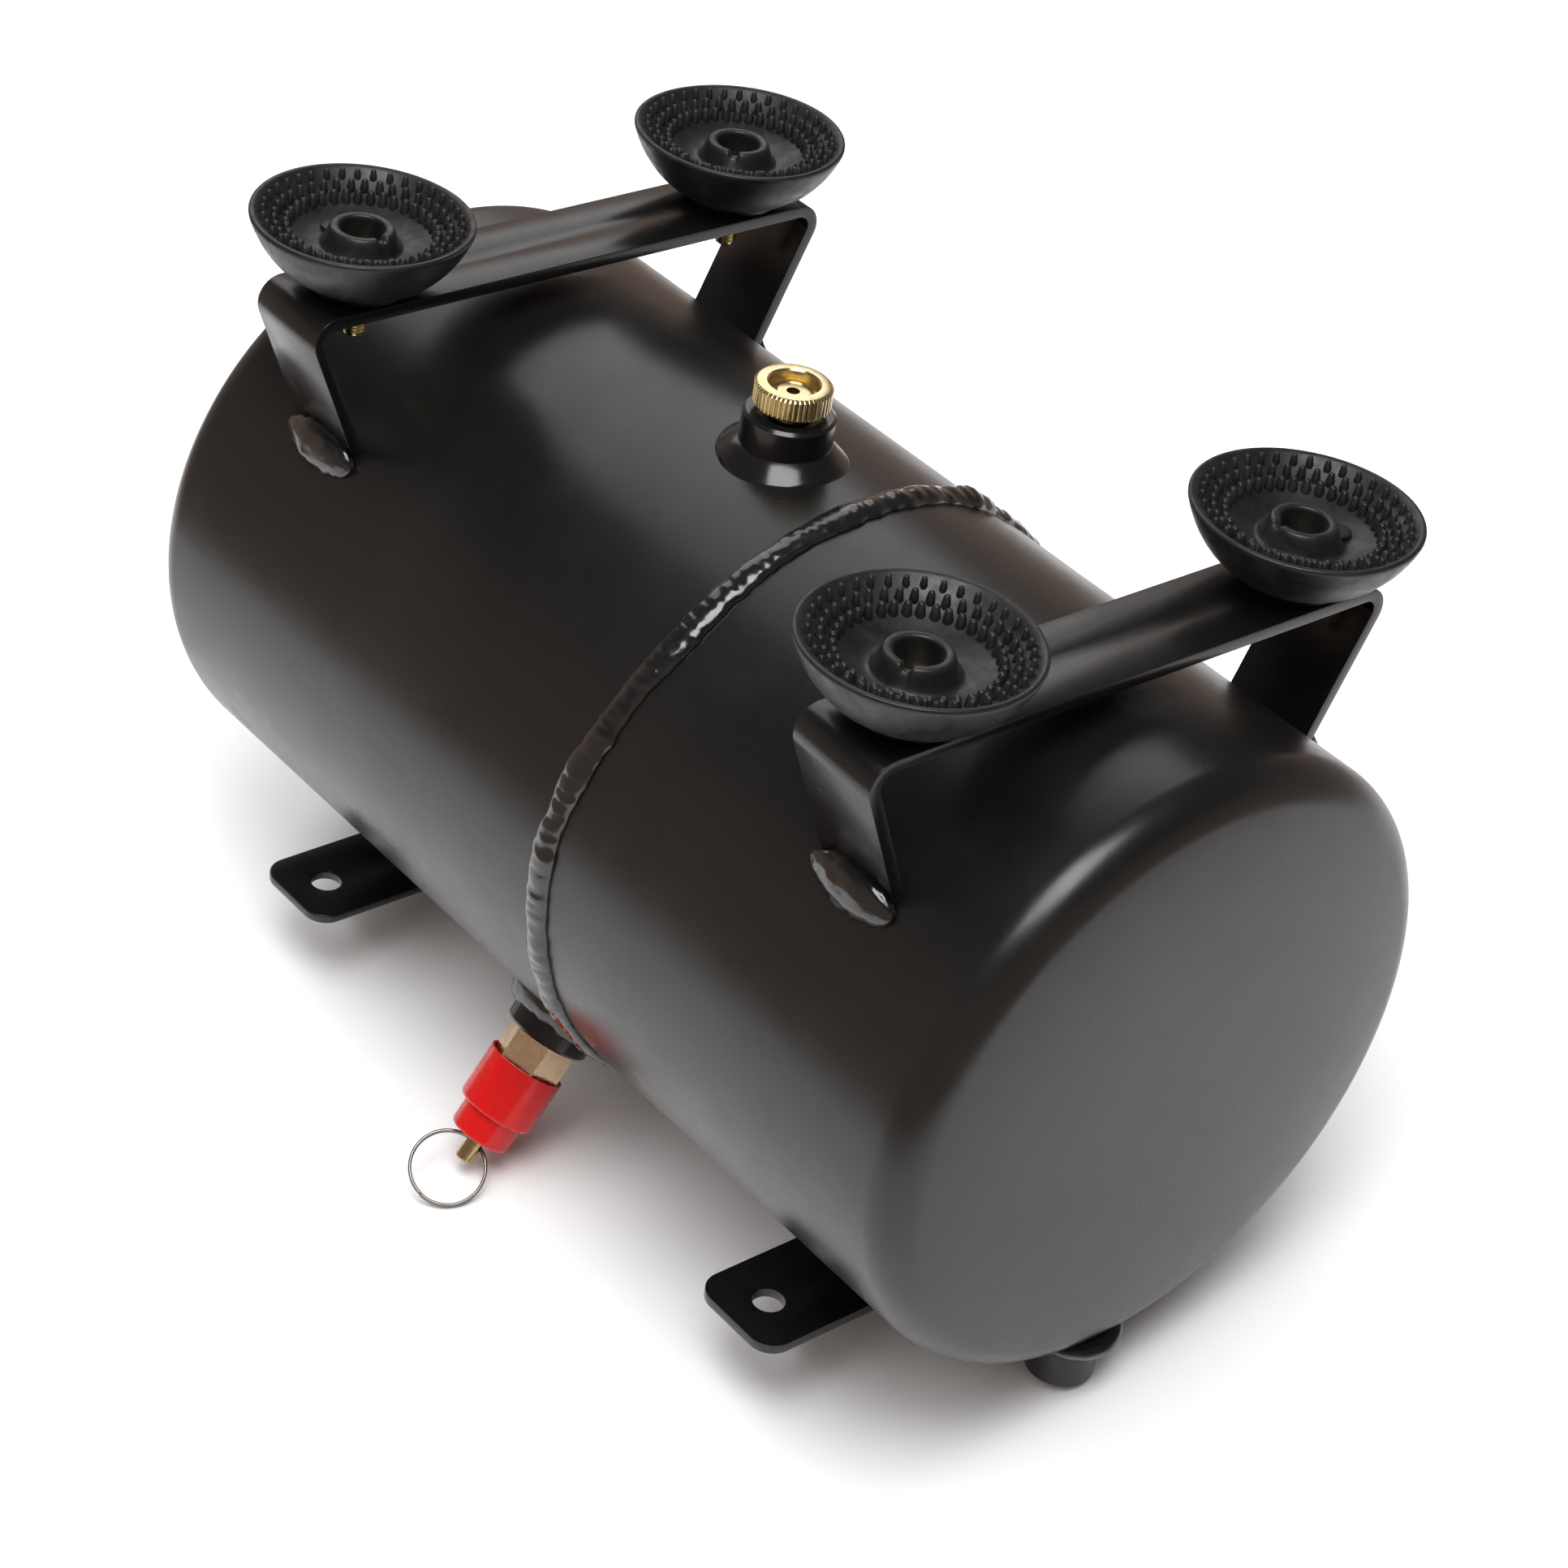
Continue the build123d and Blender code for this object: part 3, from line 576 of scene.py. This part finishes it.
skirts = {
    "drainSkirt": {
        "node": "drain_boss_weld", "boss": "drain_boss", "out": (0, 0, 1),
        "inner": 8.6, "outer": 12.9, "rise": 3.0, "crown": 0.15, "rough": 0.1, "grain": 90,
    },
    "safetySkirt": {
        "node": "safety_boss_weld", "boss": "safety_boss", "out": safetyOut,
        "inner": 8.6, "outer": 12.4, "rise": 3.6, "crown": 0.78, "rough": 0.75, "grain": 260,
    },
    "portSkirtLeft": {
        "node": "port_boss_weld_left", "boss": "port_boss_left", "out": (0, 0, -1),
        "inner": 6.4, "outer": 10.4, "rise": 3.0, "crown": 0.6, "rough": 0.35, "grain": 240,
    },
    "portSkirtRight": {
        "node": "port_boss_weld_right", "boss": "port_boss_right", "out": (0, 0, -1),
        "inner": 6.4, "outer": 10.4, "rise": 3.0, "crown": 0.6, "rough": 0.35, "grain": 240,
    },
}


def makeSkirt(name, skirt):
    low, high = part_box(skirt["boss"])
    out = Vector(skirt["out"])
    place = Matrix((Vector((1, 0, 0)), out.cross(Vector((1, 0, 0))), out)).transposed().to_4x4()
    place.translation = Vector(((low.x + high.x) / 2, 0, axisHeight))
    inner, outer, rise = skirt["inner"] * mm, skirt["outer"] * mm, skirt["rise"] * mm
    reach = outer - inner
    outline = [(inner, 0, -1.4 * mm), (inner, 0, rise)]
    for share in (0.18, 0.36, 0.54, 0.72, 0.88):
        outline.append((inner + share * reach, 0, rise * (1 - share ** (1 / (1 - skirt["crown"])))))
    outline += [(outer, 0, 0.05 * mm), (outer + 0.05 * mm, 0, -0.5 * mm), (outer - 0.8 * mm, 0, -1.4 * mm)]
    bm = bmesh.new()
    spinOutline(bm, outline, 96)
    for v in bm.verts:
        radius = math.hypot(v.co.x, v.co.y)
        share = min(1.0, max(0.0, (radius - inner) / reach))
        surface = math.sqrt(tankRadius ** 2 - v.co.y ** 2)
        if v.co.z > -0.2 * mm:
            bumps = noise.noise(v.co * skirt["grain"] * 2.2) + 0.5 * noise.noise(v.co * skirt["grain"] * 5)
            v.co.z += skirt["rough"] * mm * bumps * math.sin(math.pi * (0.15 + 0.8 * share))
        shift = 1 + 0.06 * skirt["rough"] * noise.noise(v.co.normalized() * 3.1) * share
        v.co.x *= shift
        v.co.y *= shift
        v.co.z += surface
    bm.transform(place)
    bmesh.ops.recalc_face_normals(bm, faces=bm.faces)
    look = bossEnamel if name == "drainSkirt" else weldEnamel
    return finishPiece(name, bm, look, (skirt["node"],), sharpFrom=70)


for skirtName, skirt in skirts.items():
    makeSkirt(skirtName, skirt)
print("skirts made")


# Suction cups: heights are above the bracket

cup = {
    "holeRadius": 4.35,
    "hubRadius": 6.3,
    "hubBase": 7.6,
    "hubTop": 12.6,
    "seat": 2.5,
    "floor": 8.4,
    "floorEdge": 13.4,
    "floorEdgeHeight": 10.2,
    "rimRadius": 21.7,
    "rimHeight": 15.2,
    "rimWidth": 1.3,
    "neckRadius": 9.9,
    "neckHeight": 1.4,
    "stemRadius": 2.15,
    "bumpRadius": 2.5,
    "bumpHeight": 0.9,
    "pegsPerRing": 38,
    "pegRings": ((14.5, 1.08, 2.1), (16.8, 0.95, 1.9), (19.0, 0.8, 1.35)),
    "turns": {"front_left": 187, "front_right": 118, "rear_left": 132, "rear_right": 75},
}


def dishHeight(radius):
    if radius < cup["floorEdge"]:
        share = (radius - cup["hubBase"]) / (cup["floorEdge"] - cup["hubBase"])
        return cup["floor"] + (cup["floorEdgeHeight"] - cup["floor"]) * max(0, share) ** 2
    inner = cup["rimRadius"] - cup["rimWidth"]
    share = (radius - cup["floorEdge"]) / (inner - cup["floorEdge"])
    return cup["floorEdgeHeight"] + (cup["rimHeight"] - 0.3 - cup["floorEdgeHeight"]) * share ** 1.35


def bowlOutline():
    rim, top = cup["rimRadius"], cup["rimHeight"]
    inner = rim - cup["rimWidth"]
    outline = [(cup["stemRadius"], 0.05), (cup["neckRadius"] - 0.5, 0.0), (cup["neckRadius"], 0.4),
               (cup["neckRadius"] + 0.1, cup["neckHeight"])]
    outline += [(12.1, 2.5), (14.6, 4.1), (17.0, 6.3), (19.2, 9.2), (20.7, 12.0), (rim - 0.25, top - 1.4)]
    outline += [(rim, top - 0.75), (rim - 0.06, top - 0.25), (rim - 0.35, top), (inner + 0.25, top - 0.02)]
    dish = (inner - 0.4, 19.0, 17.2, 15.4, 13.9, 12.4, 10.6, 9.0)
    outline += [(radius, dishHeight(radius)) for radius in dish]
    outline += [(cup["hubBase"] + 0.35, cup["floor"]), (cup["hubBase"] - 0.1, cup["floor"] + 0.5)]
    outline += [(cup["hubRadius"] + 0.12, cup["hubTop"] - 0.6), (cup["hubRadius"] - 0.25, cup["hubTop"] - 0.08)]
    outline += [(cup["hubRadius"] - 0.6, cup["hubTop"]), (cup["holeRadius"] + 0.4, cup["hubTop"])]
    outline += [(cup["holeRadius"] + 0.05, cup["hubTop"] - 0.35), (cup["holeRadius"], cup["hubTop"] - 1.2)]
    outline += [(cup["holeRadius"], cup["seat"] + 0.3), (cup["holeRadius"] - 0.1, cup["seat"])]
    outline += [(cup["stemRadius"], cup["seat"])]
    return [(radius * mm, 0, height * mm) for radius, height in outline]


def makeCup(corner):
    nodeName = "suction_cup_" + corner
    low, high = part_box(nodeName)
    turn = math.radians(cup["turns"][corner])
    middle = Matrix.Translation(((low.x + high.x) / 2, (low.y + high.y) / 2, low.z))
    place = middle @ Matrix.Rotation(turn, 4, "Z")
    seed = cup["turns"][corner]
    bm = bmesh.new()
    spinOutline(bm, bowlOutline(), 96)
    for v in bm.verts:
        angle = math.atan2(v.co.y, v.co.x)
        radius, height = math.hypot(v.co.x, v.co.y), v.co.z
        # the gate mark opposite the bump is a shallow dip in the hub's edge
        off = abs(abs(angle) - math.pi)
        if cup["holeRadius"] * mm - 0.1 * mm < radius < 7 * mm and height > 11 * mm and off < 0.2:
            v.co.z -= 1.1 * mm * (1 - (off / 0.2) ** 4)
        # the thin rim is a little out of true
        edge = max(0.0, (radius - 15 * mm) / (6.7 * mm))
        v.co.z -= edge * 0.35 * mm * (1 + math.sin(2 * angle + seed)) / 2
    bowl = finishBowl(bm, place, corner, nodeName)
    makePegs(place, corner, seed)
    return bowl


def finishBowl(bm, place, corner, nodeName):
    bump = bmesh.ops.create_cone(bm, cap_ends=True, segments=32, radius1=(cup["bumpRadius"] + 0.15) * mm,
                                 radius2=cup["bumpRadius"] * mm, depth=(cup["bumpHeight"] + 0.6) * mm)["verts"]
    halfway = cup["floor"] + cup["bumpHeight"] / 2
    bmesh.ops.translate(bm, verts=bump, vec=((cup["hubBase"] + 0.4) * mm, 0, (halfway - 0.2) * mm))
    raised = {v for v in bump if v.co.z > halfway * mm}
    crown = [e for e in bm.edges if all(v in raised for v in e.verts)]
    bmesh.ops.bevel(bm, geom=crown, offset=0.3 * mm, segments=3, profile=0.5, affect="EDGES", material=-1)
    bm.transform(place)
    bmesh.ops.recalc_face_normals(bm, faces=bm.faces)
    bowl = finishPiece("cupBowl_" + corner, bm, cupRubber, (nodeName,), sharpFrom=55)
    smoothing = bowl.modifiers.new("smoothing", "SUBSURF")
    smoothing.levels = smoothing.render_levels = 1
    return bowl


def makePegs(place, corner, seed):
    random.seed(seed)
    bm = bmesh.new()
    count = cup["pegsPerRing"]
    buried = 0.7
    for ring, (radius, thick, tall) in enumerate(cup["pegRings"]):
        base = dishHeight(radius)
        for step in range(count):
            angle = 2 * math.pi * (step + 0.5 * (ring % 2) + random.uniform(-0.06, 0.06)) / count
            height = tall + random.uniform(-0.12, 0.08)
            peg = bmesh.ops.create_cone(bm, cap_ends=True, segments=8, radius1=thick * 1.08 * mm,
                                        radius2=thick * 0.62 * mm, depth=(height + buried) * mm)["verts"]
            cap = [f for f in {f for v in peg for f in v.link_faces} if f.normal.z > 0.9]
            tips = bmesh.ops.inset_region(bm, faces=cap, thickness=thick * 0.25 * mm, depth=thick * 0.22 * mm)
            peg = list(set(peg) | {v for f in cap for v in f.verts} | {v for f in tips["faces"] for v in f.verts})
            lean = random.uniform(-0.05, 0.05)
            x, y = radius * math.cos(angle) * mm, radius * math.sin(angle) * mm
            bmesh.ops.translate(bm, verts=peg, vec=(x, y, (base + (height - buried) / 2) * mm))
            bmesh.ops.rotate(bm, verts=peg, cent=(x, y, base * mm), matrix=Matrix.Rotation(lean, 3, "X"))
    bm.transform(place)
    return finishPiece("cupPegs_" + corner, bm, cupRubber, sharpFrom=75)


for cornerName in cup["turns"]:
    makeCup(cornerName)
print("suction cups made")


# Threads on the screw ends under the brackets

thread = {"core": 1.7, "root": 1.96, "crest": 2.16, "pitch": 0.7, "tip": 0.7, "plate": 2.5, "under": 0.3}


def makeThreads():
    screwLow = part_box("foot_screws")[0]
    bm = bmesh.new()
    for bracketName in ("foot_bracket_left", "foot_bracket_right"):
        low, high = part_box(bracketName)
        for row in ("front", "rear"):
            cupLow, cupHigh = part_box(bracketName.replace("foot_bracket", "suction_cup_" + row))
            bottom = screwLow.z / mm + thread["tip"]
            turns = int((cupLow.z / mm - thread["plate"] - thread["under"] - bottom) / thread["pitch"])
            top = bottom + turns * thread["pitch"]
            outline = [(thread["core"], 0, bottom)]
            for turn in range(turns):
                height = bottom + turn * thread["pitch"]
                outline += [(thread["root"], 0, height + 0.05), (thread["crest"], 0, height + 0.3),
                            (thread["crest"], 0, height + 0.4)]
            outline += [(thread["root"], 0, top), (thread["core"], 0, top)]
            sleeve = bmesh.new()
            spinOutline(sleeve, [Vector(point) * mm for point in outline], 32)
            sleeve.transform(Matrix.Translation(((low.x + high.x) / 2, (cupLow.y + cupHigh.y) / 2, 0)))
            mesh = bpy.data.meshes.new("sleeve")
            sleeve.to_mesh(mesh)
            sleeve.free()
            bm.from_mesh(mesh)
            bpy.data.meshes.remove(mesh)
    return finishPiece("screwThreads", bm, zincYellow, sharpFrom=25)


makeThreads()
print("screw threads cut")


# Floor, light and camera

def restingPlane():
    # The tank lies on the rear edge of its ports and the rear ends of its straps
    portLow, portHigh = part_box("port_boss_right")
    strapLow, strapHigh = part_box("mounting_strap_right")
    chamfer = 0.6 * mm
    heel = Vector((0, portHigh.y - chamfer, portLow.z))
    toe = Vector((0, strapHigh.y, strapLow.z))
    slope = (toe - heel).normalized()
    return heel, Vector((1, 0, 0)).cross(slope).normalized()


heel, floorUp = restingPlane()
floorLook = {"radius": 0.42, "colour": (0.86, 0.86, 0.865), "gap": 0.1 * mm}


def makeFloor():
    bm = bmesh.new()
    bmesh.ops.create_circle(bm, cap_ends=True, segments=128, radius=floorLook["radius"])
    bm.transform(Vector((0, 0, 1)).rotation_difference(floorUp).to_matrix().to_4x4())
    middle = heel - floorUp * floorLook["gap"]
    bmesh.ops.translate(bm, verts=bm.verts, vec=middle)
    mesh = bpy.data.meshes.new("paperFloor")
    bm.to_mesh(mesh)
    bm.free()
    floor = bpy.data.objects.new("paperFloor", mesh)
    bpy.context.scene.collection.objects.link(floor)
    material, tree, shader, place = startMaterial("whitePaper", Roughness=0.85)
    shader.inputs["Specular IOR Level"].default_value = 0.15
    shader.inputs["Base Color"].default_value = (*floorLook["colour"], 1)
    mesh.materials.append(material)


makeFloor()

# Lights: bearing is from the front towards the right end, height is over the floor, both in degrees
lamps = {
    "rearSoftbox": {
        "bearing": -120, "height": 36, "distance": 1.3, "size": (1.1, 0.85), "radiance": 1.5, "glossy": True,
    },
    "overheadSoftbox": {
        "bearing": 60, "height": 74, "distance": 1.1, "size": (0.6, 0.6), "radiance": 8.0, "glossy": True,
    },
    "fillPanel": {
        "bearing": 0, "height": 80, "distance": 1.5, "size": (2.2, 2.2), "radiance": 2.3, "glossy": False,
    },
}


def makeLamp(name, lamp):
    across = Vector((1, 0, 0))
    back = floorUp.cross(across)
    bearing, height = math.radians(lamp["bearing"]), math.radians(lamp["height"])
    level = across * math.sin(bearing) - back * math.cos(bearing)
    towards = level * math.cos(height) + floorUp * math.sin(height)
    data = bpy.data.lights.new(name, "AREA")
    data.shape = "RECTANGLE"
    data.size, data.size_y = lamp["size"]
    data.energy = lamp["radiance"] * math.pi * lamp["size"][0] * lamp["size"][1]
    light = bpy.data.objects.new(name, data)
    light.location = axisPoint + towards * lamp["distance"]
    light.rotation_mode = "QUATERNION"
    light.rotation_quaternion = towards.to_track_quat("Z", "Y")
    light.visible_glossy = lamp["glossy"]
    light.visible_camera = False
    bpy.context.scene.collection.objects.link(light)


for lampName, lamp in lamps.items():
    makeLamp(lampName, lamp)


room = {"low": (0.4, 0.3, 0.24), "high": (0.09, 0.09, 0.095), "backdrop": 1.6}


def makeWorld():
    # White behind the object; in its reflections a dim room, warm near the table and dark above
    world = bpy.data.worlds.new("studio")
    world.use_nodes = True
    tree = world.node_tree
    walls = tree.nodes["Background"]
    upward = tree.nodes.new("ShaderNodeSeparateXYZ")
    tree.links.new(tree.nodes.new("ShaderNodeTexCoord").outputs["Generated"], upward.inputs[0])
    climb = addRange(tree, upward.outputs["Z"], 0.2, 0.55, 0, 1)
    tree.links.new(addColours(tree, climb, room["low"], room["high"]), walls.inputs["Color"])
    backdrop = tree.nodes.new("ShaderNodeBackground")
    backdrop.inputs["Color"].default_value = (1, 1, 1, 1)
    backdrop.inputs["Strength"].default_value = room["backdrop"]
    rays = tree.nodes.new("ShaderNodeLightPath")
    choice = tree.nodes.new("ShaderNodeMixShader")
    tree.links.new(rays.outputs["Is Camera Ray"], choice.inputs["Fac"])
    tree.links.new(walls.outputs["Background"], choice.inputs[1])
    tree.links.new(backdrop.outputs["Background"], choice.inputs[2])
    tree.links.new(choice.outputs["Shader"], tree.nodes["World Output"].inputs["Surface"])
    bpy.context.scene.world = world


makeWorld()

cameraPlace = {
    "lens": 87.8,
    "at": (0.44874, -0.43567, 0.4879),
    "forward": (-0.58629, 0.58092, -0.56462),
    "up": (-0.51325, 0.27287, 0.81371),
}


def makeCamera():
    data = bpy.data.cameras.new("productCamera")
    data.lens = cameraPlace["lens"]
    data.sensor_width = 36
    camera = bpy.data.objects.new("productCamera", data)
    forward = Vector(cameraPlace["forward"]).normalized()
    right = forward.cross(Vector(cameraPlace["up"])).normalized()
    turned = Matrix((right, right.cross(forward), -forward)).transposed().to_4x4()
    turned.translation = Vector(cameraPlace["at"])
    camera.matrix_world = turned
    bpy.context.scene.collection.objects.link(camera)
    bpy.context.scene.camera = camera
    bpy.context.scene.view_settings.view_transform = "Standard"


makeCamera()
print("studio set")
